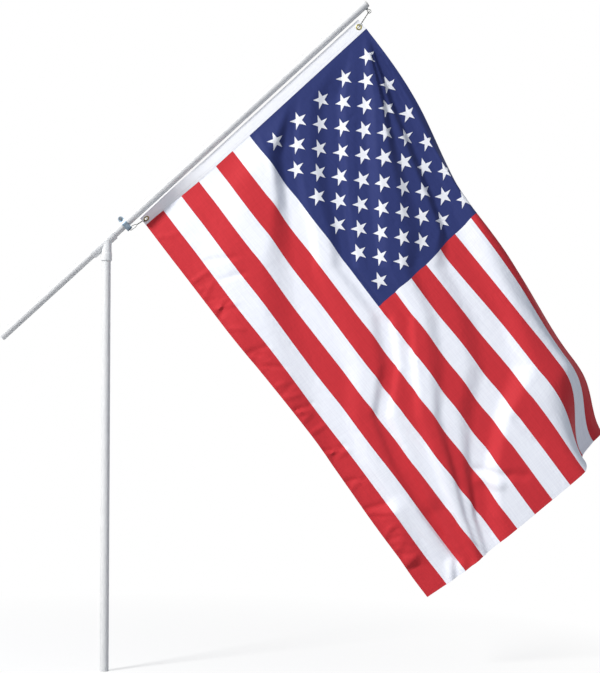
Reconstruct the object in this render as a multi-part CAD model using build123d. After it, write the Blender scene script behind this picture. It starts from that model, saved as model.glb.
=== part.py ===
from build123d import *
import os
from math import acos, cos, degrees, radians, sin, sqrt

# A flag on a pole of white plastic pipe: an upright post, a wye fitting and a slanted staff.
# The flag hangs below the staff on two wire snaps, one on a strap clamp and one on a screw eye.
# Millimetres, +Z up. The origin is the middle of the post's cut bottom end, the staff rises
# towards +X, and the flag hangs in the X-Z plane.

# Plastic pipe, three quarter inch size
PIPE_R = 26.67 / 2
BORE_R = 20.93 / 2
FIT_GAP = 0.05

# Where the pipes' axes cross, and how the staff slants
CROSS_Z = 1313
STAFF_RISE = 42.7
STAFF_TIP = 1088
ARM_END = 437

# Wye fitting, measured from the crossing
HUB_R = 16.9
BODY_R = 15.9
SOCKET_DEPTH = 19
HUB_LENGTH = 23
LEG_UPPER = 31
LEG_LOWER = 61
LEG_BRANCH = 62
STOP_R = 10.6

# Plug in the staff's tip
PLUG_LENGTH = 26
PLUG_CAP = 3.2
PLUG_BEVEL = 1.4

# Screw eye under the tip
EYE_S = 1079
EYE_DROP = 25
EYE_RING_R = 5.6
EYE_WIRE_R = 0.95
EYE_RIM_R = 1.15
EYE_DEPTH = 2
EYE_BENDS = 16
EYE_NUT_FLATS = 8
EYE_NUT_H = 3.2

# Strap clamp on the staff
STRAP_T = 1.5
STRAP_W = 17
EAR_GAP = 10
EAR_TIP = 27
BOLT_UP = 20.2
BOLT_R = 2.4
HEX_FLATS = 8
HEX_H = 3.6
FOOT_DROP = 22.3
FOOT_W = 19
FOOT_BEND = 2.5
FOOT_HOLE_R = 4.8

# Wire snaps, their wire drawn with six sides and each half turn as short straights
WIRE_R = 1.0
WIRE_SIDES = 6
HALF_TURN_BENDS = 8
SNAP_LENGTH = 60
LOOP_LENGTH = 26
LOOP_W = 10.5
RING_LENGTH = 18
RING_W = 13
RING_PAST = 2
TWIST_TURN = 180

# Flag: a cotton heading, a blue canton and thirteen sewn stripes
HOIST = 914
STRIPES = 13
CANTON_STRIPES = 7
STRIPE_W = HOIST / STRIPES
HEADING_W = 38
HEADING_T = 2.0
HEADING_FOOT = 122
CLOTH_T = 1.2

# How the flag hangs: s runs up the staff from the crossing, d away from it
FOOT_LINE_D = 32
HEADING_D = 39.5
TWIST_REACH = 290
HEADING_TWIST = 52
FLY_FOOT_S = -16
FLY_D = [1465, 1476, 1485, 1490, 1494, 1498, 1502, 1506, 1510, 1512, 1500, 1490, 1487, 1494]
CANTON_END = 0.456
LATE = 0.82
SAMPLES = [0, 0.14, 0.3, CANTON_END, 0.64, LATE, 0.92, 1]

# Slope of each stripe out of the flag's plane, from the lowest to the highest, in degrees:
# along the canton's outer edge, well on towards the fly, and along the fly
MID_SLOPE = [4, -6, 8, -8, 6, -8, -22, 25, 26, 17, -21, -12, 66]
LATE_SLOPE = [5, -9, 10, -11, 16, -9, 12, -14, 8, 5, 33, 52, 69]
FLY_SLOPE = [5, -11, 11, -13, 26, -9, 9, -5, -24, 70, 88, 24, 50]
HANG_Y = -27

# Brass grommets
GROMMET_IN = 14
GROMMET_R = 10
GROMMET_HOLE_R = 5
GROMMET_T = 0.9
GROMMET_LIP = 0.8
GROMMET_SEAT = 0.2

up_staff = Vector(cos(radians(STAFF_RISE)), 0, sin(radians(STAFF_RISE)))
off_staff = Vector(sin(radians(STAFF_RISE)), 0, -cos(radians(STAFF_RISE)))
depth = Vector(0, 1, 0)
crossing = Vector(0, 0, CROSS_Z)


def place(s, d, y=0):
    """A point s up the staff from the crossing, d away from it on the flag's side, y deep."""
    return crossing + up_staff * s + off_staff * d + depth * y


def tube(start, end, outer, inner):
    """A straight pipe between two points."""
    along = Plane(start, z_dir=end - start)
    ring = along * (Circle(outer) - Circle(inner))
    return extrude(ring, amount=(end - start).length)


def rod(start, end, radius):
    along = Plane(start, z_dir=end - start)
    return extrude(along * Circle(radius), amount=(end - start).length)


def smooth(x):
    x = min(max(x, 0), 1)
    return x * x * (3 - 2 * x)


# Post, staff and lower arm


def post_pipe():
    return tube(Vector(0, 0, 0), crossing - Vector(0, 0, LEG_BRANCH - SOCKET_DEPTH), PIPE_R, BORE_R)


def lower_arm_pipe():
    return tube(place(-ARM_END, 0), place(SOCKET_DEPTH - LEG_LOWER, 0), PIPE_R, BORE_R)


def staff_pipe():
    pipe = tube(place(LEG_UPPER - SOCKET_DEPTH, 0), place(STAFF_TIP, 0), PIPE_R, BORE_R)
    return pipe - rod(place(EYE_S, 0), place(EYE_S, PIPE_R + 1), EYE_WIRE_R + FIT_GAP)


# Wye fitting: three hubs on one moulded body, bored through, with a stop inside each socket


def leg(end, start=crossing):
    """One leg of the moulding: a plain body with a wider hub on its outer end."""
    whole = (end - start).length
    hub_foot = whole - HUB_LENGTH
    shoulder = HUB_R - BODY_R
    half = Polyline(
        (0, 0),
        (BODY_R, 0),
        (BODY_R, max(hub_foot - shoulder, 0.5)),
        (HUB_R, max(hub_foot, 0.5 + shoulder)),
        (HUB_R, whole - 1),
        (HUB_R - 1, whole),
        (0, whole),
        close=True,
    )
    solid = revolve(Plane.XZ * make_face(half), Axis.Z)
    return Plane(start, z_dir=end - start) * solid


def socket(end):
    """The space that a pipe fills, with a small lead-in at its mouth."""
    inward = (crossing - end).normalized()
    space = rod(end - inward, end + inward * SOCKET_DEPTH, PIPE_R + FIT_GAP)
    mouth = Plane(end, z_dir=inward) * Cone(
        PIPE_R + 0.8, PIPE_R, 0.8, align=(Align.CENTER, Align.CENTER, Align.MIN)
    )
    return space + mouth


def wye_fitting():
    ends = [place(LEG_UPPER, 0), place(-LEG_LOWER, 0), crossing - Vector(0, 0, LEG_BRANCH)]
    body = leg(ends[0]) + leg(ends[1]) + leg(ends[2])
    for end in ends:
        body -= socket(end)
        body -= rod(crossing, end, STOP_R)
    return body


# Tip plug and screw eye


def tip_plug():
    """A plug pushed into the staff, with a bevelled cap no wider than the pipe."""
    cap = Cylinder(PIPE_R, PLUG_CAP, align=(Align.CENTER, Align.CENTER, Align.MIN))
    cap = chamfer(cap.edges().group_by(Axis.Z)[-1], PLUG_BEVEL)
    spigot = Cylinder(BORE_R, PLUG_LENGTH, align=(Align.CENTER, Align.CENTER, Align.MAX))
    plug = Plane(place(STAFF_TIP, 0), z_dir=up_staff) * (spigot + cap)
    return plug - rod(place(EYE_S, -EYE_DEPTH), place(EYE_S, PIPE_R + 1), EYE_WIRE_R + FIT_GAP)


def bent_wire(path, radius):
    """Wire along a closed path of straights, with a mitre at each bend."""
    section = Plane(path @ 0, z_dir=path % 0) * RegularPolygon(radius, WIRE_SIDES)
    return sweep(section, path=path, transition=Transition.RIGHT)


def tip_screw_eye():
    """A closed wire ring on a straight shank that goes through the pipe into the plug."""
    reach = EYE_RING_R / cos(radians(180 / EYE_BENDS))
    turns = [radians(360 * (i + 0.5) / EYE_BENDS) for i in range(EYE_BENDS)]
    corners = [(reach * cos(a), reach * sin(a)) for a in turns]
    outline = Wire(Polyline((EYE_RING_R, 0), *corners, close=True).edges())
    ring = Plane(place(EYE_S, EYE_DROP), z_dir=depth) * bent_wire(outline, EYE_RIM_R)
    shank = rod(place(EYE_S, -EYE_DEPTH), place(EYE_S, EYE_DROP - EYE_RING_R), EYE_WIRE_R)
    return ring + shank


def hex_prism(start, axis, flats, height, hole):
    """A nut or a bolt's head, with its outer corners rounded off."""
    at = Plane(start, z_dir=axis)
    body = extrude(RegularPolygon(flats / 2, 6, major_radius=False), amount=height)
    crown = Cylinder(flats / sqrt(3), height, align=(Align.CENTER, Align.CENTER, Align.MIN))
    crown = chamfer(crown.edges().group_by(Axis.Z)[-1], 0.7)
    body = body & crown
    if hole:
        body -= Cylinder(hole, height, align=(Align.CENTER, Align.CENTER, Align.MIN))
    return at * body


def eye_nut():
    """The nut under the pipe, its top hollowed to sit on the pipe's round."""
    nut = hex_prism(place(EYE_S, PIPE_R - 1), off_staff, EYE_NUT_FLATS, EYE_NUT_H + 1, EYE_WIRE_R + FIT_GAP)
    return nut - rod(place(EYE_S - 20, 0), place(EYE_S + 20, 0), PIPE_R + 0.01)


# Strap clamp: one bent steel strip with two rounded ears above the pipe and a flat foot below

snap_rise = FOOT_LINE_D - FOOT_DROP
lower_grommet_s = HEADING_FOOT + GROMMET_IN
upper_grommet_s = HEADING_FOOT + HOIST - GROMMET_IN
clamp_s = lower_grommet_s - sqrt(SNAP_LENGTH**2 - snap_rise**2)


def clamp_strap():
    """The strip follows the pipe from the ears and then runs in to the corners of the foot."""
    mid_r = PIPE_R + 0.1 + STRAP_T / 2
    ear_y = EAR_GAP / 2 + STRAP_T / 2
    neck = Vector(-sqrt(mid_r**2 - ear_y**2), ear_y)
    corner = Vector(FOOT_DROP, FOOT_W / 2)
    reach = corner.length
    turn = Vector(1, 0).get_angle(corner) + degrees(acos(mid_r / reach))
    leave = Vector(mid_r * cos(radians(turn)), mid_r * sin(radians(turn)))
    side = Line((-EAR_TIP, ear_y), (neck.X, ear_y))
    hug = ThreePointArc((neck.X, ear_y), (0, mid_r), (leave.X, leave.Y))
    foot = FilletPolyline(
        (leave.X, leave.Y),
        (corner.X, corner.Y),
        (corner.X, -corner.Y),
        (leave.X, -leave.Y),
        radius=FOOT_BEND,
    )
    hug_back = ThreePointArc((leave.X, -leave.Y), (0, -mid_r), (neck.X, -ear_y))
    side_back = Line((neck.X, -ear_y), (-EAR_TIP, -ear_y))
    path = Wire([side, hug, *foot.edges(), hug_back, side_back])
    strip = extrude(trace(path, STRAP_T), amount=STRAP_W / 2, both=True)
    ears = strip.edges().filter_by(Axis.Y).group_by(Axis.X)[0]
    strip = fillet(ears, STRAP_W / 2 - 0.2)
    strip -= Pos(-BOLT_UP, 0, 0) * Rot(90, 0, 0) * Cylinder(BOLT_R + 0.2, 30)
    strip -= Pos(FOOT_DROP, 0, 0) * Rot(0, 90, 0) * Cylinder(FOOT_HOLE_R, 10)
    return Plane(place(clamp_s, 0), x_dir=off_staff, z_dir=off_staff.cross(depth)) * strip


def clamp_bolt():
    face = EAR_GAP / 2 + STRAP_T
    seat = place(clamp_s, -BOLT_UP, -face)
    head = hex_prism(seat, -depth, HEX_FLATS, HEX_H, 0)
    return head + rod(seat, place(clamp_s, -BOLT_UP, face + HEX_H + 2), BOLT_R)


def clamp_nut():
    face = EAR_GAP / 2 + STRAP_T
    return hex_prism(place(clamp_s, -BOLT_UP, face), depth, HEX_FLATS, HEX_H, BOLT_R + FIT_GAP)


# Wire snaps: a long loop, a twisted shank and a smaller ring, bent from one wire


def wire_oval(length, width):
    """A closed oval of wire from the origin along +X, in the X-Y plane."""
    half = width / 2
    reach = half / cos(radians(90 / HALF_TURN_BENDS))
    turns = [radians(90 + 180 * (i + 0.5) / HALF_TURN_BENDS) for i in range(HALF_TURN_BENDS)]
    near = [(half + reach * cos(a), reach * sin(a)) for a in turns]
    far = [(length - x, -y) for x, y in near]
    return bent_wire(Wire(Polyline((length / 2, half), *near, *far, close=True).edges()), WIRE_R)


def snap(start, end, loop_face, ring_face):
    """A snap from start to end; each face is the direction that its end's loop faces."""
    axis = (end - start).normalized()
    twist_length = SNAP_LENGTH - LOOP_LENGTH - RING_LENGTH
    flat = WIRE_R * cos(radians(180 / WIRE_SIDES))
    pair = Pos(0, flat, 0) * RegularPolygon(WIRE_R, WIRE_SIDES)
    pair += Pos(0, -flat, 0) * RegularPolygon(WIRE_R, WIRE_SIDES)
    at = Plane(start + axis * (LOOP_LENGTH - 1.5), z_dir=axis, x_dir=loop_face)
    core = Solid.extrude_linear_with_rotation(
        pair.face(), center=(0, 0, 0), normal=(0, 0, twist_length + 3), angle=TWIST_TURN
    )
    loop = Plane(start, x_dir=axis, z_dir=loop_face) * wire_oval(LOOP_LENGTH, LOOP_W)
    ring = Plane(end, x_dir=-axis, z_dir=ring_face) * wire_oval(RING_LENGTH, RING_W)
    return at * core + loop + ring


# Flag


def heading_cross(station):
    """The heading's outer edge and inner edge beside a border between stripes."""
    s = HEADING_FOOT + station * STRIPE_W
    along = smooth((s - HEADING_FOOT) / TWIST_REACH)
    middle = FOOT_LINE_D + (HEADING_D - FOOT_LINE_D) * along
    turn = radians(HEADING_TWIST * (1 - along))
    half = HEADING_W / 2
    outer = place(s, middle - half * cos(turn), -half * sin(turn))
    inner = place(s, middle + half * cos(turn), half * sin(turn))
    return outer, inner


def heading_point(s, across):
    """A point on the heading: across runs from 0 at the edge beside the staff to 1."""
    station = min(int((s - HEADING_FOOT) / STRIPE_W), STRIPES - 1)
    part = (s - HEADING_FOOT) / STRIPE_W - station
    lower, upper = heading_cross(station), heading_cross(station + 1)
    outer = lower[0] * (1 - part) + upper[0] * part
    inner = lower[1] * (1 - part) + upper[1] * part
    return outer * (1 - across) + inner * across


def heading_facing(s):
    """The way that the heading's far face looks at s."""
    across = heading_point(s, 1) - heading_point(s, 0)
    along = heading_point(s + 5, 0.5) - heading_point(s - 5, 0.5)
    return along.cross(across).normalized()


def slope(stripe, t):
    """How far a stripe leans out of the flag's plane at t, from 0 at the heading to 1 at the fly."""
    places = [0, CANTON_END, LATE, 1]
    leans = [0, MID_SLOPE[stripe], LATE_SLOPE[stripe], FLY_SLOPE[stripe]]
    span = 0 if t < CANTON_END else 1 if t < LATE else 2
    part = smooth((t - places[span]) / (places[span + 1] - places[span]))
    return radians(leans[span] * (1 - part) + leans[span + 1] * part)


def border_point(border, t):
    """A point on the line between two stripes; border 0 is the lower edge, 13 the upper one."""
    hoist = heading_cross(border)[1]
    from_foot = [(STRIPE_W * cos(slope(i, t)), STRIPE_W * sin(slope(i, t))) for i in range(border)]
    s = HEADING_FOOT + (FLY_FOOT_S - HEADING_FOOT) * t + sum(x for x, _ in from_foot)
    hoist_d = (hoist - crossing).dot(off_staff)
    d = hoist_d + (FLY_D[border] - hoist_d) * t
    y = hoist.Y * (1 - t) ** 2 + HANG_Y * t + sum(y for _, y in from_foot)
    y += (HEADING_T - CLOTH_T) / 2
    return place(s, d, y)


def border_edge(border):
    points = [border_point(border, t) for t in SAMPLES]
    return Edge.make_spline(points, parameters=SAMPLES)


def strip(lower, upper, thickness=CLOTH_T):
    """Cloth between two edges, as thick as it is deep."""
    face = Face.make_surface_from_curves(lower, upper)
    return Solid.extrude(face, depth * thickness)


def heading():
    """The canvas band that the flag is sewn to, with a hole for each grommet."""
    crosses = [Edge.make_line(*heading_cross(i)) for i in range(STRIPES + 1)]
    band = strip(crosses[0], crosses[1], HEADING_T)
    for lower, upper in zip(crosses[1:], crosses[2:]):
        band += strip(lower, upper, HEADING_T)
    for s in (lower_grommet_s, upper_grommet_s):
        middle = grommet_middle(s)
        facing = heading_facing(s)
        band -= rod(middle - facing * 10, middle + facing * 10, GROMMET_HOLE_R + GROMMET_T)
    return band


def grommet_middle(s):
    return heading_point(s, 0.5) + depth * (HEADING_T / 2)


def grommet(s):
    """A brass eyelet with a flange on each face of the heading."""
    facing = heading_facing(s)
    face = HEADING_T * abs(facing.Y) / 2 + GROMMET_SEAT
    barrel = GROMMET_HOLE_R + GROMMET_T - FIT_GAP
    rim = face + GROMMET_LIP
    half = Polyline(
        (GROMMET_HOLE_R, -rim),
        (GROMMET_R, -rim),
        (GROMMET_R, -face),
        (barrel, -face),
        (barrel, face),
        (GROMMET_R, face),
        (GROMMET_R, rim),
        (GROMMET_HOLE_R, rim),
        close=True,
    )
    return Plane(grommet_middle(s), z_dir=facing) * revolve(Plane.XZ * make_face(half), Axis.Z)


def flag_cloth():
    """The canton and the stripes, each cut along the same border lines."""
    borders = [border_edge(i) for i in range(STRIPES + 1)]
    full_stripes = STRIPES - CANTON_STRIPES
    cloth = {}
    canton = None
    for i in range(STRIPES):
        lower, upper = borders[i], borders[i + 1]
        if i >= full_stripes:
            inside = strip(lower.trim(0, CANTON_END), upper.trim(0, CANTON_END))
            canton = inside if canton is None else canton + inside
            lower, upper = lower.trim(CANTON_END, 1), upper.trim(CANTON_END, 1)
        colour = "red" if i % 2 == 0 else "white"
        cloth[f"stripe_{STRIPES - i:02d}_{colour}"] = strip(lower, upper)
    cloth["canton"] = canton
    return cloth


def snaps():
    foot = place(clamp_s, FOOT_DROP)
    eye = place(EYE_S + RING_PAST, EYE_DROP)
    lower = grommet_middle(lower_grommet_s)
    upper = grommet_middle(upper_grommet_s)
    lower_ring_face = (lower - foot).cross(heading_facing(lower_grommet_s)).normalized()
    upper_face = (eye - upper).cross(depth).normalized()
    return {
        "snap_lower": snap(foot, lower, depth, lower_ring_face),
        "snap_upper": snap(upper, eye, upper_face, upper_face),
    }


def build():
    pieces = {
        "post_pipe": post_pipe(),
        "wye_fitting": wye_fitting(),
        "lower_arm_pipe": lower_arm_pipe(),
        "staff_pipe": staff_pipe(),
        "tip_plug": tip_plug(),
        "tip_screw_eye": tip_screw_eye(),
        "eye_nut": eye_nut(),
        "clamp_strap": clamp_strap(),
        "clamp_bolt": clamp_bolt(),
        "clamp_nut": clamp_nut(),
        "heading": heading(),
        "grommet_lower": grommet(lower_grommet_s),
        "grommet_upper": grommet(upper_grommet_s),
    }
    pieces |= snaps()
    pieces |= flag_cloth()
    return pieces


os.makedirs("parts", exist_ok=True)
for name, shape in build().items():
    export_step(shape, f"parts/{name}.step")
    print(name, round(shape.volume), shape.is_valid)
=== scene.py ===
# %% [markdown]
# # A flag on a slanted pole of white plastic pipe
# An upright post, a wye fitting and a slanted staff of three quarter inch pipe carry a sewn flag,
# 3 ft high and 5 ft long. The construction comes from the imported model, which is loaded here as a
# fixed frame. This lesson dresses it: the finish of each pipe and clamp, the sewn and draped cloth,
# the wire snaps and the brass grommets.

# %% Load the frame
from math import cos, pi, radians, sin, tau

import bmesh
import bpy
import numpy as np
from mathutils import Matrix, Vector


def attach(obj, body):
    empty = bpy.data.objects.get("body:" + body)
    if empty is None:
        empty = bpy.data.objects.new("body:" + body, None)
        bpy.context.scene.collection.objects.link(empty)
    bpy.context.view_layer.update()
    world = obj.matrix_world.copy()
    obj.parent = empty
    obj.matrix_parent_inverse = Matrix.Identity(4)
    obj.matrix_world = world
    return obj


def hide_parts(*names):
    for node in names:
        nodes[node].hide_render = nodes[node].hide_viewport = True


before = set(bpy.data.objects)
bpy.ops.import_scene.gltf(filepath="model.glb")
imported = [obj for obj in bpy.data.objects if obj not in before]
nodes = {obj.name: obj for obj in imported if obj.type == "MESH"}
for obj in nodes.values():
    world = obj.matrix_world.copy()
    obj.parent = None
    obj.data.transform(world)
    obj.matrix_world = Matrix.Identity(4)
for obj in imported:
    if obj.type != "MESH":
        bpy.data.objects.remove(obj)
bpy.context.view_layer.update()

# %% [markdown]
# ## Camera
# The picture was taken from about four and a half metres away, at chest height, with the camera
# tipped up a little: the post leans by a hair and the pipe is equally thick at both ends. A camera
# of that height and distance, with a lens worked out from its focal length in pixels, gives the
# same view. It needs no shift.

# %% Camera at the photographer's place
PICTURE = (600, 673)
FOCAL_PIXELS = 1500
SENSOR = 36
CAMERA_PLACE = (0.5955, -4.6, 0.817)
TIPPED_UP = 2.5
camera_data = bpy.data.cameras.new("camera")
camera_data.sensor_fit = "AUTO"
camera_data.sensor_width = SENSOR
camera_data.lens = FOCAL_PIXELS / max(PICTURE) * SENSOR
camera = bpy.data.objects.new("camera", camera_data)
camera.location = CAMERA_PLACE
camera.rotation_euler = (radians(90 + TIPPED_UP), 0, 0)
bpy.context.scene.collection.objects.link(camera)
bpy.context.scene.camera = camera
bpy.context.scene.view_settings.view_transform = "Standard"
print("lens", round(camera_data.lens, 2), "mm")

# %% [markdown]
# ## Shader arithmetic
# A procedural finish is mostly small sums: two noises added up, a mask times a strength, a
# coordinate divided by a thread's width. Wrapping a socket in a class that knows Python's operators
# lets each finish be written as such sums, and the Math nodes appear by themselves. One method
# makes every other kind of node.

# %% A socket that takes part in sums
class Signal:
    """The output of a shader node, usable in Python's arithmetic."""

    def __init__(self, finish, output):
        self.finish = finish
        self.output = output

    def sum(self, operation, *others):
        values = dict(enumerate(others))
        return self.finish.node("ShaderNodeMath", {"operation": operation}, values)

    def __add__(self, other):
        return self.sum("ADD", self, other)

    def __sub__(self, other):
        return self.sum("SUBTRACT", self, other)

    def __mul__(self, other):
        return self.sum("MULTIPLY", self, other)

    def __truediv__(self, other):
        return self.sum("DIVIDE", self, other)

    def __lt__(self, other):
        return self.sum("LESS_THAN", self, other)

    def __abs__(self):
        return self.sum("ABSOLUTE", self)

    def fraction(self):
        return self.sum("FRACT", self)

    def wave(self):
        """A sine that goes once up and down while the signal grows by one."""
        return self.sum("SINE", self * tau)

    def either(self, other):
        return self.sum("MAXIMUM", self, other)


# %% A material and its nodes
class Finish:
    """A node tree with one method that makes any node, and its main shader."""

    def __init__(self, name, **shader):
        self.material = bpy.data.materials.new(name)
        self.material.use_nodes = True
        self.tree = self.material.node_tree
        self.shader = self.tree.nodes["Principled BSDF"]
        self.feed(self.shader, {key.replace("_", " "): value for key, value in shader.items()})

    def feed(self, node, inputs):
        for key, value in inputs.items():
            if isinstance(value, Signal):
                self.tree.links.new(value.output, node.inputs[key])
            else:
                node.inputs[key].default_value = value

    def node(self, kind, settings=(), inputs=(), out=0):
        node = self.tree.nodes.new(kind)
        for key, value in dict(settings).items():
            setattr(node, key, value)
        self.feed(node, dict(inputs))
        return Signal(self, node.outputs[out])

    def place(self):
        return self.node("ShaderNodeTexCoord", out="Object")

    def cut(self):
        """The flat place that a point of cloth was cut from."""
        return self.node("ShaderNodeUVMap", {"uv_map": "cut"})

    def flat(self):
        """The two flat coordinates of that place, in metres."""
        along_fly = self.node("ShaderNodeSeparateXYZ", {}, {0: self.cut()})
        return along_fly, Signal(self, along_fly.output.node.outputs[1])

    def stretch(self, vector, scale):
        return self.node("ShaderNodeMapping", {}, {"Vector": vector, "Scale": scale})

    def speckle(self, vector, scale, detail=2.0):
        inputs = {"Vector": vector, "Scale": scale, "Detail": detail}
        return self.node("ShaderNodeTexNoise", {}, inputs, out="Fac")

    def mix(self, share, first, second):
        settings = {"data_type": "RGBA", "clamp_factor": True}
        return self.node("ShaderNodeMix", settings, {0: share, 6: first, 7: second}, out=2)

    def spread(self, signal, low, high):
        """The signal taken from between low and high to between 0 and 1."""
        settings = {"clamp": True}
        return self.node("ShaderNodeMapRange", settings, {0: signal, 1: low, 2: high})

    def bump(self, height, depth, strength=1.0):
        inputs = {"Height": height, "Distance": depth, "Strength": strength}
        self.feed(self.shader, {"Normal": self.node("ShaderNodeBump", {}, inputs)})

    def paint(self, **inputs):
        self.feed(self.shader, {key.replace("_", " "): value for key, value in inputs.items()})
        return self.material


def grey(colour, factor):
    """A colour made darker or lighter."""
    return (*(min(channel * factor, 1) for channel in colour[:3]), 1)


# %% [markdown]
# ## Light, floor and backdrop
# The pole was photographed outdoors and cut out on white. A broad lamp high on the left stands for
# the bright side of the sky, a weaker one on the right keeps the shaded folds open, and the world
# gives a cool fill, which is what turns white cloth bluish in its shade. The white behind the
# object is shown only to the camera and in reflections, so it adds nothing to that fill. For the
# camera the floor fades to plain white away from the post, and near it a soft shadow stays.

# %% Lamps and world
def lamp(name, place, aim, size, power, colour):
    data = bpy.data.lights.new(name, "AREA")
    data.shape = "DISK"
    data.size = size
    data.energy = power
    data.color = colour
    made = bpy.data.objects.new(name, data)
    made.location = place
    made.rotation_euler = (Vector(aim) - Vector(place)).to_track_quat("-Z", "Y").to_euler()
    bpy.context.scene.collection.objects.link(made)


middle = (0.6, 0, 1.1)
lamp("key", (-5.1, -4.7, 6.1), middle, 2.2, 910, (1.0, 0.985, 0.965))
lamp("fill", (5.5, -5.0, 2.2), middle, 4.0, 60, (0.86, 0.91, 1.0))

world = bpy.data.worlds.new("world")
bpy.context.scene.world = world
world.use_nodes = True
tree = world.node_tree
sky = tree.nodes["Background"]
sky.inputs["Color"].default_value = (0.80, 0.87, 1.0, 1)
sky.inputs["Strength"].default_value = 0.28
white = tree.nodes.new("ShaderNodeBackground")
rays = tree.nodes.new("ShaderNodeLightPath")
seen = tree.nodes.new("ShaderNodeMath")
seen.operation = "MAXIMUM"
choose = tree.nodes.new("ShaderNodeMixShader")
tree.links.new(rays.outputs["Is Camera Ray"], seen.inputs[0])
tree.links.new(rays.outputs["Is Glossy Ray"], seen.inputs[1])
tree.links.new(seen.outputs[0], choose.inputs[0])
tree.links.new(sky.outputs[0], choose.inputs[1])
tree.links.new(white.outputs[0], choose.inputs[2])
tree.links.new(choose.outputs[0], tree.nodes["World Output"].inputs[0])
white.inputs["Color"].default_value = (1, 1, 1, 1)

# %% Floor that keeps the shadow near the post
FLOOR_HALF = 30
SHADOW_REACH = (0.4, 1.9)
floor_mesh = bpy.data.meshes.new("floor")
bm = bmesh.new()
bmesh.ops.create_grid(bm, x_segments=1, y_segments=1, size=FLOOR_HALF)
bm.to_mesh(floor_mesh)
floor = bpy.data.objects.new("floor", floor_mesh)
bpy.context.scene.collection.objects.link(floor)
ground = Finish("floor_white", Roughness=0.9)
camera_ray = ground.node("ShaderNodeLightPath", out="Is Camera Ray")
ground.paint(Base_Color=ground.mix(camera_ray, (0.46, 0.46, 0.46, 1), (0.98, 0.98, 0.98, 1)))
paper = ground.node("ShaderNodeEmission", {}, {"Color": (1, 1, 1, 1), "Strength": 1.0})
away = ground.node("ShaderNodeVectorMath", {"operation": "LENGTH"}, {0: ground.place()}, out="Value")
faded = ground.spread(away, *SHADOW_REACH) * 0.35 + 0.65
lit = Signal(ground, ground.shader.outputs[0])
surface = ground.node("ShaderNodeMixShader", {}, {0: faded * camera_ray, 1: lit, 2: paper})
ground.tree.links.new(surface.output, ground.tree.nodes["Material Output"].inputs["Surface"])
floor_mesh.materials.append(ground.material)
print("floor", 2 * FLOOR_HALF, "m wide")

# %% [markdown]
# ## Plastic pipe and fitting
# The pipe is extruded white plastic with a satin skin: nearly even in colour, a little duller where
# hands and weather have been, with faint scratches. The fitting is moulded, so it is glossier, with
# the soft orange peel of a mould. Both finishes read the object's own coordinates.

# %% Finishes of the plastic
def plastic(name, colour, roughness, peel, grime):
    made = Finish(
        name,
        Specular_IOR_Level=0.7,
        Subsurface_Weight=0.5,
        Subsurface_Radius=(1, 1, 1),
        Subsurface_Scale=0.02,
    )
    place = made.place()
    cloud = made.speckle(place, 9, 3)
    dust = made.spread(made.speckle(place, 60, 4), 0.45, 0.8) * grime
    clean = made.mix(cloud, grey(colour, 0.965), grey(colour, 1.02))
    made.paint(
        Base_Color=made.mix(dust, clean, (0.55, 0.53, 0.49, 1)),
        Roughness=made.spread(cloud, 0.2, 0.8) * 0.12 + roughness,
    )
    scratches = made.speckle(made.stretch(place, (1, 1, 0.12)), 900, 2)
    made.bump(made.speckle(place, peel, 2) + scratches * 0.4, 0.0001, 0.25)
    return made.material


PLASTICS = {
    "post_pipe": plastic("pipe_white", (0.90, 0.915, 0.925), 0.36, 130, 0.08),
    "wye_fitting": plastic("fitting_white", (0.87, 0.89, 0.905), 0.28, 420, 0.07),
    "tip_plug": plastic("plug_white", (0.70, 0.68, 0.64), 0.45, 300, 0.35),
}
PLASTICS["staff_pipe"] = PLASTICS["lower_arm_pipe"] = PLASTICS["post_pipe"]


def dress(node, material):
    """Give a node of the frame its finish."""
    mesh = nodes[node].data
    mesh.materials.clear()
    mesh.materials.append(material)


for node, material in PLASTICS.items():
    dress(node, material)
print("plastic on", sorted(PLASTICS))

# %% [markdown]
# ## Zinc, steel and brass
# The strap clamp is zinc plated and passivated, which gives grey metal a thin blue cast with paler
# spangles. The eye and the snaps are plain wire, a little brown, and their colour is painted far
# darker than bare steel: painted shade. The grommets are brass, painted a dark olive all over:
# painted shade. Metal shows its finish in its roughness, so each one varies it.

# %% Finishes of the metal
def metal(name, bright, dull, roughness, grain):
    made = Finish(name, Metallic=1.0)
    place = made.place()
    patches = made.spread(made.speckle(place, grain, 4), 0.35, 0.7)
    pits = made.speckle(place, grain * 9, 2)
    made.paint(
        Base_Color=made.mix(patches, (*dull, 1), (*bright, 1)),
        Roughness=made.spread(pits, 0.3, 0.7) * 0.18 + roughness,
    )
    made.bump(pits, 0.0001, 0.4)
    return made.material


zinc = metal("zinc_plate", (0.42, 0.51, 0.60), (0.22, 0.30, 0.38), 0.34, 120)
dark_zinc = metal("zinc_bolt", (0.28, 0.31, 0.33), (0.14, 0.15, 0.16), 0.36, 160)
# Painted shade: the snap and eye wire is coloured far darker than bare steel.
steel = metal("snap_wire", (0.22, 0.23, 0.22), (0.12, 0.12, 0.11), 0.38, 200)
# Painted shade: the brass is coloured a dark olive all over, far darker than bright brass.
brass = metal("brass", (0.44, 0.40, 0.19), (0.20, 0.18, 0.07), 0.36, 150)
for node, material in {
    "clamp_strap": zinc,
    "clamp_bolt": dark_zinc,
    "clamp_nut": dark_zinc,
    "eye_nut": dark_zinc,
    "tip_screw_eye": steel,
}.items():
    dress(node, material)

# %% [markdown]
# ## Where things are
# The staff's own directions make every place short to say: so far up the staff, so far off it on
# the flag's side, and so deep. They are the directions that the frame was built by, in metres.

# %% The staff's directions
STAFF_LENGTH = 1.088
CROSSING = Vector((0, 0, 1.313))
STAFF_RISE = radians(42.7)
up_staff = Vector((cos(STAFF_RISE), 0, sin(STAFF_RISE)))
off_staff = Vector((sin(STAFF_RISE), 0, -cos(STAFF_RISE)))
depth = Vector((0, 1, 0))


def place(s, d, y=0.0):
    """A point s up the staff from the crossing, d away from it on the flag's side, y deep."""
    return CROSSING + up_staff * s + off_staff * d + depth * y


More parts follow.
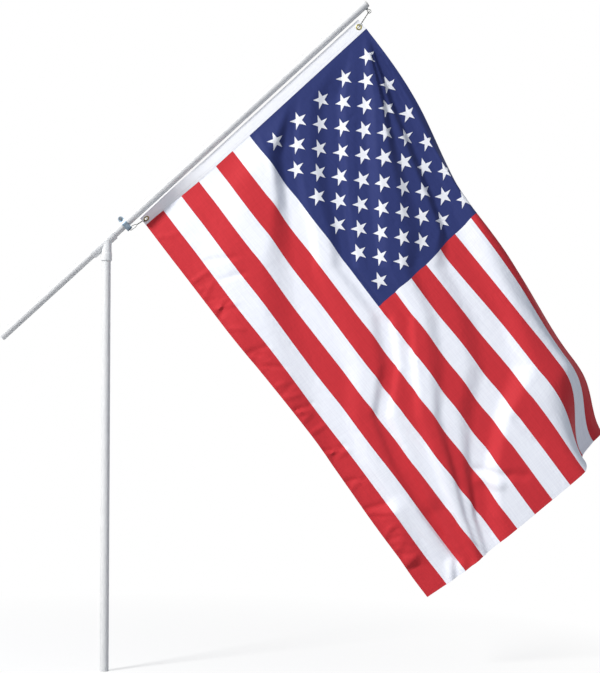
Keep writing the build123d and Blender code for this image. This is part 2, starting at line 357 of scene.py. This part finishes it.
def smooth(x):
    x = np.clip(x, 0, 1)
    return x * x * (3 - 2 * x)


tip = place(STAFF_LENGTH, 0)
print("tip", [round(c, 3) for c in tip])


# %% From a mesh in the making to a piece
SHARP_FROM = radians(42)


def finish_piece(bm, name, materials, body, replaces=()):
    """Write the mesh to an object at the origin and let it ride on its body."""
    mesh = bpy.data.meshes.new(name)
    bm.to_mesh(mesh)
    bm.free()
    mesh.shade_smooth()
    mesh.set_sharp_from_angle(angle=SHARP_FROM)
    for material in materials:
        mesh.materials.append(material)
    made = bpy.data.objects.new(name, mesh)
    bpy.context.scene.collection.objects.link(made)
    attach(made, body)
    if replaces:
        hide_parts(*replaces)
    print(name, len(mesh.polygons), "faces")
    return made


# %% [markdown]
# ## How the flag hangs
# A flag is cut and sewn flat and then hung, and so is this one. Every part of it is first laid out
# flat, with u along the fly, v up the hoist and a small lift off the cloth. One function then hangs
# a flat point in the air. It is worked out once on a fine grid: at each distance along the fly the
# cloth is walked from its foot to its top, leaning in and out of the picture by a given angle, so
# its width is kept while it folds. The top four stripes roll back behind a long crest that runs
# from the upper hoist corner to the fly.

# %% Sizes of the flag
HOIST = 0.914
STRIPES = 13
STRIPE_W = HOIST / STRIPES
CANTON_STRIPES = 7
FLY = 1.486
CANTON_SHARE = 0.456
CANTON_U = FLY * CANTON_SHARE
CANTON_V = (STRIPES - CANTON_STRIPES) * STRIPE_W
HEADING_W = 0.038
HEADING_T = 0.002
HEADING_FOOT = 0.122
FOOT_LINE_D = 0.032
HEADING_D = 0.0395
TWIST_REACH = 0.290
HEADING_TWIST = radians(52)
FLY_FOOT_S = -0.016
LATE = 0.82
HANG_Y = -0.027
CLOTH_MIDDLE = 0.001
FLY_D_MM = [1465, 1476, 1485, 1490, 1494, 1498, 1502, 1506, 1510, 1512, 1500, 1490, 1487, 1494]
FLY_D = np.array(FLY_D_MM) / 1000

# %% Leans in degrees at places counted in stripes from the foot
LEAN_PLACES = [0.5, 1.5, 2.5, 3.5, 4.5, 5.5, 6.5, 7.5, 8.5, 9.5, 10.5, 11.2, 11.6, 12.1, 12.55]
NARROWS = {
    CANTON_SHARE: [4, 6, 8, 8, 6, 8, 22, 25, 26, 17, 21, 12, 12, 8, 88],
    LATE: [5, 9, 10, 11, 16, 9, 12, 14, 8, 5, 24, 35, 72, 70, 69],
    1.0: [5, 11, 11, 13, 26, 9, 9, 5, 24, 70, 88, 40, 22, 35, 54],
}
LEANS = {
    CANTON_SHARE: [0, 0, 0, 0, 0, 0, 0, 0, 0, 4, 2, 0, 0, 4, 86],
    LATE: [0, 0, 0, 0, 0, 0, 0, 0, 0, 4, 16, 30, 70, 70, 69],
    1.0: [0, 0, 0, 0, 0, 0, 0, 0, -6, 70, 88, 40, 22, 35, 54],
}


def lean_field(leans, t, w):
    """Leans over the cloth in radians: t runs along the fly, w counts the stripes from the foot."""
    rows = [np.zeros_like(w)] + [np.interp(w, LEAN_PLACES, row) for row in leans.values()]
    places = [0.0, *leans]
    field = np.zeros((len(t), len(w)))
    for start, end, near, far in zip(places, places[1:], rows, rows[1:]):
        inside = (t >= start) & (t <= end)
        part = smooth((t[inside] - start) / (end - start))[:, None]
        field[inside] = near * (1 - part) + far * part
    return np.radians(field)


# %% [markdown]
# The heading's inner edge is where the cloth starts. Near its foot the heading is turned by the
# snap, and further up it lies flat.

# %% The line where cloth meets heading
def heading_angle(s):
    return HEADING_TWIST * (1 - smooth((s - HEADING_FOOT) / TWIST_REACH))


def heading_middle(s):
    return FOOT_LINE_D + (HEADING_D - FOOT_LINE_D) * smooth((s - HEADING_FOOT) / TWIST_REACH)


ROWS_T = 500
ROWS_W = 521
t_rows = np.linspace(0, 1, ROWS_T)
w_rows = np.linspace(0, STRIPES, ROWS_W)
step_v = HOIST / (ROWS_W - 1)
hoist_s = HEADING_FOOT + w_rows * STRIPE_W
hoist_d = heading_middle(hoist_s) + HEADING_W / 2 * np.cos(heading_angle(hoist_s))
hoist_y = HEADING_W / 2 * np.sin(heading_angle(hoist_s))

# %% Walk the cloth from its foot to its top
def walked(field):
    """The running sum of a field up the hoist, from zero at the foot."""
    halves = (field[:, 1:] + field[:, :-1]) / 2 * step_v
    return np.concatenate([np.zeros((len(field), 1)), np.cumsum(halves, axis=1)], axis=1)


foot_s = HEADING_FOOT + (FLY_FOOT_S - HEADING_FOOT) * t_rows[:, None]
cloth_s = foot_s + walked(np.cos(lean_field(NARROWS, t_rows, w_rows)))
cloth_d = hoist_d + (np.interp(w_rows, np.arange(STRIPES + 1), FLY_D) - hoist_d) * t_rows[:, None]
cloth_y = hoist_y * (1 - t_rows[:, None]) ** 2 + HANG_Y * t_rows[:, None] + CLOTH_MIDDLE
cloth_y = cloth_y + walked(np.sin(lean_field(LEANS, t_rows, w_rows)))
print("cloth reaches", round(float(cloth_y.min()), 3), "to", round(float(cloth_y.max()), 3), "deep")

# %% [markdown]
# Soft folds lie over that shape. They hang almost straight down from the heading, whatever way the
# stripes run, so they are drawn on the upright plane that the flag hangs in: each line is a crest
# or a hollow, given by its place at a few heights. Between two neighbouring lines the cloth goes
# over from the depth of one to the depth of the other, level near both and steep halfway. A gain at
# each height makes all folds shallower towards the foot, and nearly flat at the top corner, where
# the lines come together. Cloth that goes deep covers less width, so each flank is also drawn in a
# little sideways. Next to the heading, which holds the cloth, both fade out, and the sideways part
# fades at the fly end too.

# %% Crests and hollows from left to right: places at the heights, and depth away from the viewer
HEIGHTS = [0.34, 0.47, 0.62, 0.77, 0.93, 1.08, 1.23, 1.34, 1.44, 1.59, 1.75, 1.96]
LINES = [
    ([0.78, 0.68, 0.575, 0.49, 0.40, 0.31, 0.20, 0.23, 0.28, 0.34, 0.42, 0.71], -0.004),
    ([0.800, 0.710, 0.605, 0.515, 0.450, 0.430, 0.430, 0.470, 0.495, 0.477, 0.554, 0.730], -0.014),
    ([1.033, 0.865, 0.748, 0.706, 0.698, 0.642, 0.621, 0.606, 0.580, 0.565, 0.577, 0.740], 0.012),
    ([1.053, 0.942, 0.850, 0.795, 0.815, 0.785, 0.667, 0.662, 0.631, 0.598, 0.601, 0.745], 0.000),
    ([1.073, 0.992, 0.911, 0.846, 0.882, 0.862, 0.749, 0.734, 0.714, 0.704, 0.693, 0.756], 0.016),
    ([1.090, 1.020, 0.950, 0.890, 0.905, 0.890, 0.785, 0.770, 0.757, 0.750, 0.750, 0.770], 0.000),
    ([1.110, 1.050, 0.990, 0.930, 0.930, 0.920, 0.815, 0.800, 0.790, 0.781, 0.783, 0.782], 0.002),
    ([1.134, 1.079, 1.034, 0.983, 0.958, 0.949, 0.888, 0.878, 0.868, 0.850, 0.841, 0.797], -0.017),
    ([1.155, 1.110, 1.080, 1.045, 1.070, 1.045, 0.975, 1.010, 0.974, 0.915, 0.856, 0.799], 0.003),
    ([1.175, 1.140, 1.131, 1.157, 1.199, 1.169, 1.083, 1.062, 1.027, 0.966, 0.894, 0.804], 0.024),
    ([1.266, 1.232, 1.222, 1.264, 1.370, 1.310, 1.260, 1.200, 1.140, 1.053, 0.955, 0.812], -0.008),
]
GAINS = [0.5, 0.65, 0.8, 0.8, 0.8, 0.8, 0.85, 0.9, 1.0, 1.0, 0.8, 0.15]
LEVEL_UNTIL = 0.2
STEEP_SHARE = 0.6
DRAW_IN = 0.085
LOOSE_FROM = 0.10
FLY_FADE = 0.12


def folds(x, z):
    """How far a place in the hanging plane goes away from the viewer, and how far sideways."""
    places = [np.interp(z, HEIGHTS, line) for line, _ in LINES]
    depths = [far for _, far in LINES]
    gain = np.interp(z, HEIGHTS, GAINS)
    deep = np.full_like(x, depths[0])
    aside = np.zeros_like(x)
    for left, right, near, far in zip(places, places[1:], depths, depths[1:]):
        part = np.clip((x - left) / (right - left), 0, 1)
        deep += (far - near) * smooth((part - LEVEL_UNTIL) / STEEP_SHARE)
        aside += abs(far - near) * DRAW_IN * np.sin(tau * part)
    return deep * gain, aside


flat_u, flat_v = np.meshgrid(t_rows * FLY, w_rows * STRIPE_W, indexing="ij")
loose = smooth(flat_u / LOOSE_FROM)
hang_x = cloth_s * up_staff.x + cloth_d * off_staff.x
hang_z = cloth_s * up_staff.z + cloth_d * off_staff.z + CROSSING.z
deep, aside = folds(hang_x, hang_z)
cloth_y = cloth_y + deep * loose
fly_end = 1 - smooth((flat_u - FLY + FLY_FADE) / FLY_FADE)
cloth_s = cloth_s + aside * loose * fly_end * up_staff.x
cloth_d = cloth_d + aside * loose * fly_end * off_staff.x

# %% [markdown]
# Sharper creases come on top: a few that show in the photograph, and many small puckers that start
# at the hem of the lowest stripe and at the seams, where the thread has drawn the cloth together.
# The puckers are scattered by a random generator with a fixed seed, so they come out the same
# every time. The foot of a hanging flag is wavy too, so its hem goes in and out and is lifted by
# small amounts given at places along the fly, and that fades out a little way up the cloth.

# %% Creases in the hanging plane: start (x, z), end (x, z), half width, depth
CREASES = [
    ((1.125, 0.615), (1.235, 0.588), 0.010, 0.006),
    ((1.130, 0.585), (1.215, 0.560), 0.014, -0.007),
    ((1.250, 0.770), (1.330, 0.690), 0.010, 0.005),
    ((1.230, 0.600), (1.290, 0.590), 0.012, 0.005),
    ((0.350, 1.190), (0.430, 1.215), 0.007, 0.003),
    ((0.300, 1.250), (0.400, 1.262), 0.007, 0.003),
    ((0.470, 1.640), (0.520, 1.500), 0.012, -0.004),
    ((0.870, 0.500), (0.940, 0.330), 0.034, -0.013),
    ((1.000, 0.500), (1.060, 0.330), 0.030, 0.009),
]
HEM_U = [0.0, 0.06, 0.45, 0.56, 0.90, 1.05, 1.24, 1.35, 1.43, FLY]
HEM_DEPTH = [0.0, 0.0, -0.006, 0.006, 0.012, 0.008, 0.004, 0.010, 0.006, 0.0]
HEM_RISE = [0.0, 0.0, 0.002, 0.008, 0.015, 0.010, 0.003, 0.002, 0.0, 0.0]
HEM_REACH = 0.055
SOFTEN = 15


def line_depth(across, along, start, end, width, depth):
    """One crease between two points, fading at its ends."""
    run = np.array(end) - np.array(start)
    length = np.hypot(*run)
    part = ((across - start[0]) * run[0] + (along - start[1]) * run[1]) / length**2
    aside = ((along - start[1]) * run[0] - (across - start[0]) * run[1]) / length
    fade = smooth(part / 0.3 + 0.5) * smooth((1 - part) / 0.3 + 0.5)
    return depth * fade * np.exp(-((aside / width) ** 2))


for crease in CREASES:
    cloth_y = cloth_y + line_depth(hang_x, hang_z, *crease)


def along_hem(values):
    """Values at places along the foot, softened and fading up the cloth."""
    row = np.interp(t_rows * FLY, HEM_U, values)
    window = np.ones(2 * SOFTEN + 1) / (2 * SOFTEN + 1)
    row = np.convolve(np.pad(row, SOFTEN, mode="edge"), window, mode="valid")
    return row[:, None] * np.exp(-flat_v / HEM_REACH)


cloth_y = cloth_y + along_hem(HEM_DEPTH)
cloth_s = cloth_s + along_hem(HEM_RISE)

# %% Puckers
FOOT_PUCKERS = 46
SEAM_PUCKERS = 22
scatter = np.random.default_rng(7)


def pucker(v_start, reach, width, depth):
    """One pucker that runs off a seam, at a random place along the fly."""
    u_start = scatter.uniform(0.05, FLY - 0.05)
    lean = scatter.uniform(-0.5, 0.9) * reach
    size = scatter.uniform(0.5, 1.0)
    start = (u_start, v_start)
    end = (u_start + lean, v_start + reach)
    return line_depth(flat_u, flat_v, start, end, width * size, depth * size)


for index in range(FOOT_PUCKERS):
    cloth_y = cloth_y + pucker(0.004, scatter.uniform(0.03, 0.075), 0.007, 0.0046 * (-1) ** index)
for border in range(1, STRIPES):
    for index in range(SEAM_PUCKERS):
        reach = scatter.uniform(0.010, 0.022) * (-1) ** index
        cloth_y = cloth_y + pucker(border * STRIPE_W, reach, 0.005, 0.0011)

# %% Hang a flat point
cloth = np.stack(
    [
        cloth_s[..., None] * np.array(up_staff) + cloth_d[..., None] * np.array(off_staff),
        cloth_y[..., None] * np.array(depth),
    ]
).sum(axis=0) + np.array(CROSSING)
along_fly = np.gradient(cloth, axis=0)
along_hoist = np.gradient(cloth, axis=1)
facing = np.cross(along_fly, along_hoist)
facing /= np.linalg.norm(facing, axis=2, keepdims=True)
hung = np.concatenate([cloth, facing], axis=2)


def drape(u, v, lift=0.0):
    """Where a point of the flat cloth is when the flag hangs; lift is off its front face."""
    i = min(max(u / FLY, 0), 1) * (ROWS_T - 1)
    j = min(max(v / HOIST, 0), 1) * (ROWS_W - 1)
    i0 = min(int(i), ROWS_T - 2)
    j0 = min(int(j), ROWS_W - 2)
    fi, fj = i - i0, j - j0
    near = hung[i0, j0] * (1 - fj) + hung[i0, j0 + 1] * fj
    far = hung[i0 + 1, j0] * (1 - fj) + hung[i0 + 1, j0 + 1] * fj
    both = near * (1 - fi) + far * fi
    return Vector(both[:3]) + Vector(both[3:]) * lift


print("front faces", [round(c, 2) for c in facing[250, 100]])

# %% [markdown]
# ## Nylon
# The cloth is filament nylon: a fine plain weave with a low sheen. From a few metres its weave
# only softens the light, and what shows is a slight unevenness along the threads and faint creases.
# The seams are sewn with two rows of lockstitch, drawn as short raised dashes in the flat
# coordinates, so that they follow every fold.

# %% Cloth finish with its weave and its rows of stitches
THREAD = 0.0006
STITCH = 0.0032
STITCH_W = 0.0005
STITCH_SHARE = 0.72


def dashes(across, along, row):
    """One row of stitches: raised dashes along a line at row."""
    on_row = abs(across - row) < STITCH_W
    return on_row * ((along / STITCH).fraction() < STITCH_SHARE)


def all_rows(rows):
    """Several rows of stitches in one mask."""
    sewn = rows[0]
    for row in rows[1:]:
        sewn = sewn.either(row)
    return sewn


def cloth_finish(name, colour, hoist_rows=(), fly_rows=(), period=STRIPE_W):
    made = Finish(name, Roughness=0.7, Sheen_Weight=0.06, Sheen_Roughness=0.5, Specular_IOR_Level=0.2)
    u, v = made.flat()
    cut = made.cut()
    slubs = made.speckle(made.stretch(cut, (6, 260, 1)), 1, 3)
    cross_slubs = made.speckle(made.stretch(cut, (240, 8, 1)), 1, 3)
    uneven = made.spread(slubs * 0.6 + cross_slubs * 0.4, 0.3, 0.7)
    body = made.mix(uneven, grey(colour, 0.93), grey(colour, 1.06))
    within = (v / period).fraction() * period
    rows = [dashes(within, u, row) for row in hoist_rows]
    rows += [dashes(u, v, row) for row in fly_rows]
    sewn = all_rows(rows)
    weave = (u / THREAD).wave() * (v / THREAD).wave() * 0.06
    creases = made.speckle(made.stretch(cut, (38, 70, 1)), 1, 4) * 6
    made.paint(Base_Color=made.mix(sewn * 0.35, body, grey(colour, 0.80)))
    made.bump(creases + weave + sewn * 0.8, 0.0003, 0.7)
    return made.material


SEAM_W = 0.009
HEM_W = 0.013
ROW_IN = 0.0016
seam_rows = [ROW_IN, SEAM_W - ROW_IN, STRIPE_W - ROW_IN, STRIPE_W - SEAM_W + ROW_IN]
hem_rows = [FLY - ROW_IN, FLY - HEM_W + ROW_IN]
red = cloth_finish("nylon_red", (0.56, 0.028, 0.038), fly_rows=hem_rows)
red_foot = cloth_finish("nylon_red_hemmed", (0.56, 0.028, 0.038), seam_rows[:2], hem_rows)
red_head = cloth_finish("nylon_red_topped", (0.56, 0.028, 0.038), seam_rows[2:], hem_rows)
white_cloth = cloth_finish("nylon_white", (0.86, 0.885, 0.97), seam_rows, hem_rows)
blue = cloth_finish("nylon_blue", (0.022, 0.034, 0.145), seam_rows[:2], [CANTON_U - ROW_IN], HOIST)

# %% [markdown]
# ## Panels
# Each stripe and the canton is a panel of single cloth. Along its felled seams and hems a real flag
# is three layers thick, which is drawn here as a slab a little thicker than the cloth, so that its
# edge stays faint. A panel is laid flat as such slabs, one for the cloth and one for each seam or
# hem, and then every corner of the mesh is hung.

# %% Cut slabs and hang them
CLOTH_T = 0.0005
FELLED_T = 0.0007
CELL = 0.0075


def slab(bm, u0, u1, v0, v1, thickness, cell=CELL):
    """A thin flat slab of cloth between two pairs of coordinates."""
    x_cells = max(1, round((u1 - u0) / cell))
    y_cells = max(1, round((v1 - v0) / cell))
    made = bmesh.ops.create_grid(bm, x_segments=x_cells, y_segments=y_cells, size=0.5)
    verts = made["verts"]
    bmesh.ops.scale(bm, vec=(u1 - u0, v1 - v0, 1), verts=verts)
    bmesh.ops.translate(bm, vec=((u0 + u1) / 2, (v0 + v1) / 2, thickness / 2), verts=verts)
    faces = list({face for vert in verts for face in vert.link_faces})
    bmesh.ops.solidify(bm, geom=faces, thickness=thickness)


def keep_cut(bm):
    """Store the flat coordinates as the cloth's own map."""
    layer = bm.loops.layers.uv.new("cut")
    for face in bm.faces:
        for loop in face.loops:
            loop[layer].uv = loop.vert.co.xy


def hang(bm):
    bmesh.ops.recalc_face_normals(bm, faces=bm.faces)
    keep_cut(bm)
    for vert in bm.verts:
        vert.co = drape(*vert.co)


# %% The stripes
def stripe(number):
    """One sewn stripe, counted from the top; the upper seven start at the canton."""
    row = STRIPES - number
    low, high = row * STRIPE_W, (row + 1) * STRIPE_W
    start = CANTON_U if number <= CANTON_STRIPES else 0.0
    is_red = number % 2 == 1
    bm = bmesh.new()
    slab(bm, start, FLY, low, high, CLOTH_T)
    slab(bm, FLY - HEM_W, FLY, low, high, FELLED_T)
    if not is_red or number == STRIPES:
        slab(bm, start, FLY - HEM_W, low, low + SEAM_W, FELLED_T)
    if not is_red or number == 1:
        slab(bm, start, FLY - HEM_W, high - SEAM_W, high, FELLED_T)
    hang(bm)
    finish = {1: red_head, STRIPES: red_foot}.get(number, red if is_red else white_cloth)
    colour = "red" if is_red else "white"
    node = f"stripe_{number:02d}_{colour}"
    made = finish_piece(bm, f"sewn_{node}", [finish], "flag", [node])


for number in range(1, STRIPES + 1):
    stripe(number)

# %% [markdown]
# ## Canton and stars
# Fifty stars stand in nine rows of six and five, a little nearer together than an even division of
# the canton would put them. Each star is embroidered through the cloth, so it shows on both faces
# and stands a little proud. A star starts as a ring of ten points, every other one drawn in, which
# is filled, divided finely enough to follow the folds, and given a short rim.

# %% Stars on both faces
STAR_R = 0.0285
STAR_WAIST = 0.382
STAR_PROUD = 0.0010
STAR_CORNERS = 10
STAR_THREAD = 0.0009
COLUMNS = 11
ROWS = 9
FIRST_COLUMN_U = 0.070
COLUMN_STEP = 0.0549
FIRST_ROW_V = CANTON_V + 0.053
ROW_STEP = 0.0485


def star(bm, u, v, side):
    """A star with one point up the hoist, on one face of the cloth."""
    made = bmesh.ops.create_circle(bm, cap_ends=True, radius=STAR_R, segments=STAR_CORNERS)
    ring = made["verts"]
    for index, vert in enumerate(ring):
        angle = pi / 2 + index * tau / STAR_CORNERS
        reach = STAR_R * (STAR_WAIST if index % 2 else 1)
        vert.co = Vector((cos(angle) * reach, sin(angle) * reach, 0))
    faces = list({face for vert in ring for face in vert.link_faces})
    poked = bmesh.ops.poke(bm, faces=faces)
    edges = list({edge for face in poked["faces"] for edge in face.edges})
    bmesh.ops.subdivide_edges(bm, edges=edges, cuts=4, use_grid_fill=True)
    made = [vert for vert in bm.verts if not vert.tag]
    rim = [edge for edge in bm.edges if edge.is_boundary and not edge.verts[0].tag]
    skirt = bmesh.ops.extrude_edge_only(bm, edges=rim)["geom"]
    skirt_verts = [item for item in skirt if isinstance(item, bmesh.types.BMVert)]
    bmesh.ops.translate(bm, vec=(0, 0, -STAR_PROUD), verts=skirt_verts)
    made += skirt_verts
    bmesh.ops.translate(bm, vec=(0, 0, CLOTH_T / 2 + STAR_PROUD), verts=made)
    if side < 0:
        bmesh.ops.scale(bm, vec=(1, 1, -1), verts=made)
    bmesh.ops.translate(bm, vec=(u, v, 0), verts=made)
    for vert in made:
        vert.tag = True


def star_finish():
    made = Finish("star_thread", Roughness=0.5, Sheen_Weight=0.3)
    u, v = made.flat()
    threads = ((u + v * 0.35) / STAR_THREAD).wave()
    # Painted shade: the thread is coloured lighter on each ridge and darker in the groove beside it,
    # in step with the bump.
    tone = made.mix(threads * 0.5 + 0.5, (0.80, 0.82, 0.88, 1), (0.88, 0.895, 0.94, 1))
    made.paint(Base_Color=tone)
    made.bump(threads, 0.0002, 0.6)
    return made.material


bm = bmesh.new()
for side in (1, -1):
    for row in range(ROWS):
        for column in range(COLUMNS):
            if (row + column) % 2 == 0:
                star(bm, FIRST_COLUMN_U + column * COLUMN_STEP, FIRST_ROW_V + row * ROW_STEP, side)
hang(bm)
stars = finish_piece(bm, "embroidered_stars", [star_finish()], "flag")

# %% The canton
CANTON_CELL = 0.0045
bm = bmesh.new()
slab(bm, 0, CANTON_U, CANTON_V, HOIST, CLOTH_T, CANTON_CELL)
slab(bm, 0, CANTON_U, CANTON_V, CANTON_V + SEAM_W, FELLED_T)
slab(bm, CANTON_U - SEAM_W, CANTON_U, CANTON_V + SEAM_W, HOIST - SEAM_W, FELLED_T)
slab(bm, 0, CANTON_U, HOIST - SEAM_W, HOIST, FELLED_T)
hang(bm)
canton = finish_piece(bm, "sewn_canton", [blue], "flag", ["canton"])

# %% [markdown]
# ## Heading
# The hoist is bound with a folded band of white cotton duck, stiffer than the flag, sewn down by
# two rows of stitches, with a third row along its outer edge. It hangs on two grommets. It is laid
# flat like the panels, with the two holes left out, and hung by its own rule, because it turns
# about its middle near the lower snap.

# %% Hang the heading
GROMMET_IN = 0.014
GROMMET_R = 0.010
HOLE_R = 0.005
HOLE_EDGE = HOLE_R + 0.002
HEADING_CELL = 0.0019
HEADING_ROWS = [HEADING_W - 0.003, HEADING_W - 0.009, 0.004]
DUCK_THREAD = 0.0011
grommet_v = [GROMMET_IN, HOIST - GROMMET_IN]


def heading_point(across, v, lift=0.0):
    """A point of the heading: across is 0 at its outer edge, v is up the hoist."""
    s = HEADING_FOOT + v
    turn = float(heading_angle(s))
    reach = across - HEADING_W / 2
    d = float(heading_middle(s)) + reach * cos(turn) + lift * sin(turn)
    y = reach * sin(turn) - lift * cos(turn) + HEADING_T / 2
    return place(s, d, y)


def heading_finish():
    made = Finish("heading_duck", Roughness=0.85, Sheen_Weight=0.2)
    u, v = made.flat()
    cut = made.cut()
    cloud = made.speckle(made.stretch(cut, (60, 14, 1)), 1, 4)
    weave = (u / DUCK_THREAD).wave() * (v / DUCK_THREAD).wave()
    sewn = all_rows([dashes(u, v, row) for row in HEADING_ROWS])
    tone = made.mix(cloud, (0.84, 0.86, 0.91, 1), (0.91, 0.92, 0.96, 1))
    made.paint(Base_Color=made.mix(sewn * 0.4, tone, (0.55, 0.56, 0.60, 1)))
    made.bump(weave * 0.25 + cloud * 2 + sewn * 1.5, 0.0004, 0.7)
    return made.material


bm = bmesh.new()
slab(bm, 0, HEADING_W, 0, HOIST, HEADING_T * 0.8, HEADING_CELL)
holes = [Vector((HEADING_W / 2, v)) for v in grommet_v]
inside = [
    face
    for face in bm.faces
    if min((face.calc_center_median().xy - hole).length for hole in holes) < HOLE_EDGE
]
bmesh.ops.delete(bm, geom=inside, context="FACES")
bmesh.ops.recalc_face_normals(bm, faces=bm.faces)
keep_cut(bm)
for vert in bm.verts:
    vert.co = heading_point(*vert.co)
heading = finish_piece(bm, "duck_heading", [heading_finish()], "flag", ["heading"])

# %% [markdown]
# ## Grommets
# A brass grommet is a turned eyelet and a washer, rolled together through the cloth. Its section is
# a short outline with a rounded rim, spun once round its axis.

# %% Spin the grommets
SPIN_STEPS = 48
SAME_PLACE = 0.00001


def spin_outline(bm, outline, centre, axis):
    """Spin an outline of (radius, height) pairs about an axis into a closed ring."""
    side = axis.orthogonal().normalized()
    verts = [bm.verts.new(centre + side * r + axis * h) for r, h in outline]
    edges = [bm.edges.new(pair) for pair in zip(verts, verts[1:] + verts[:1])]
    bmesh.ops.spin(
        bm, geom=verts + edges, cent=centre, axis=axis, angle=tau, steps=SPIN_STEPS, use_merge=True
    )


def rolled_rim(face, sign):
    """The rounded flange on one face of the heading, from the hole outwards."""
    crown = [
        (HOLE_R, face),
        (HOLE_R + 0.0006, face + 0.0009),
        (HOLE_R + 0.0017, face + 0.0012),
        (HOLE_R + 0.0032, face + 0.0007),
        (GROMMET_R - 0.0006, face + 0.0004),
        (GROMMET_R, face + 0.0001),
    ]
    return [(r, h * sign) for r, h in crown]


def grommet(name, v):
    centre = heading_point(HEADING_W / 2, v)
    axis = (heading_point(HEADING_W / 2, v, 0.01) - centre).normalized()
    face = HEADING_T * 0.4
    outline = rolled_rim(face, 1) + list(reversed(rolled_rim(face, -1)))
    bm = bmesh.new()
    spin_outline(bm, outline, centre, axis)
    bmesh.ops.remove_doubles(bm, verts=bm.verts, dist=SAME_PLACE)
    bmesh.ops.recalc_face_normals(bm, faces=bm.faces)
    return finish_piece(bm, f"rolled_{name}", [brass], "flag", [name])


grommets = [grommet("grommet_lower", grommet_v[0]), grommet("grommet_upper", grommet_v[1])]

# %% [markdown]
# ## Wire snaps
# Each snap is bent from one length of spring wire: a long loop that hooks over the clamp or the
# eye, two strands twisted round each other, and a ring that holds the grommet. The path is worked
# out along the snap's own axis and swept as a round wire.

# %% Bend the wire
WIRE_R = 0.00095
TWISTS = 1.5
PAST = 0.0015
CLAMP_S = 0.07679
FOOT_DROP = 0.0223
EYE_S = 1.079
EYE_DROP = 0.025


def loop_points(length, width, count=14):
    """A long loop: along one side, round its end at zero, and back along the other."""
    half = width / 2
    bend = [pi / 2 + pi * i / count for i in range(count + 1)]
    end = [(half + cos(a) * half, sin(a) * half) for a in bend]
    neck = [(length * 0.72, half * 0.95), (length * 0.92, half * 0.45)]
    return list(reversed(neck)) + end + [(x, -y) for x, y in neck]


def snap_path(length, loop, ring, turns):
    """Points of the wire along +X: loop, one strand, ring and the other strand back."""
    strand = length - loop[0] - ring[0]
    count = max(8, int(turns * 14))
    near = [Vector((x, y, 0)) for x, y in loop_points(*loop)]
    far = [Vector((length - x, -y, 0)) for x, y in loop_points(*ring)]
    turned = Matrix.Rotation(turns * tau, 3, "X")
    far = [turned @ p for p in far]
    helix = []
    for i in range(count + 1):
        angle = turns * tau * i / count
        middle = Vector((loop[0] + strand * i / count, 0, 0))
        helix.append((middle, Matrix.Rotation(angle, 3, "X") @ Vector((0, WIRE_R, 0))))
    forth = [middle - offset for middle, offset in helix]
    back = [middle + offset for middle, offset in reversed(helix)]
    return near + forth + far + back


def wire_piece(name, points, start, axis, side, replaces):
    """Sweep a round wire along points that are given about an axis."""
    up = axis.cross(side).normalized()
    side = up.cross(axis).normalized()
    turn = Matrix((axis, side, up)).transposed()
    curve = bpy.data.curves.new(name, "CURVE")
    curve.dimensions = "3D"
    curve.bevel_depth = WIRE_R
    curve.bevel_resolution = 4
    line = curve.splines.new("NURBS")
    line.points.add(len(points) - 1)
    for point, at in zip(line.points, points):
        point.co = (*(start + turn @ at), 1)
    line.order_u = 3
    line.use_cyclic_u = True
    line.resolution_u = 4
    drawn = bpy.data.objects.new(name + "_curve", curve)
    bpy.context.scene.collection.objects.link(drawn)
    graph = bpy.context.evaluated_depsgraph_get()
    mesh = bpy.data.meshes.new_from_object(drawn.evaluated_get(graph))
    bpy.data.objects.remove(drawn)
    bm = bmesh.new()
    bm.from_mesh(mesh)
    bmesh.ops.remove_doubles(bm, verts=bm.verts, dist=SAME_PLACE)
    bmesh.ops.recalc_face_normals(bm, faces=bm.faces)
    return finish_piece(bm, name, [steel], "flag", [replaces])


def snap(which, held, middle, loop, ring, side):
    """A snap from what it hooks over to its grommet's middle, reaching a little past both."""
    axis = (middle - held).normalized()
    points = snap_path((middle - held).length + 2 * PAST, loop, ring, TWISTS)
    wire_piece(f"wire_snap_{which}", points, held - axis * PAST, axis, side, f"snap_{which}")


foot = place(CLAMP_S, FOOT_DROP)
eye = place(EYE_S, EYE_DROP)
lower = heading_point(HEADING_W / 2, grommet_v[0])
upper = heading_point(HEADING_W / 2, grommet_v[1])
snap("lower", foot, lower, (0.027, 0.0095), (0.015, 0.0115), off_staff)
snap("upper", eye, upper, (0.020, 0.0115), (0.017, 0.0095), depth)
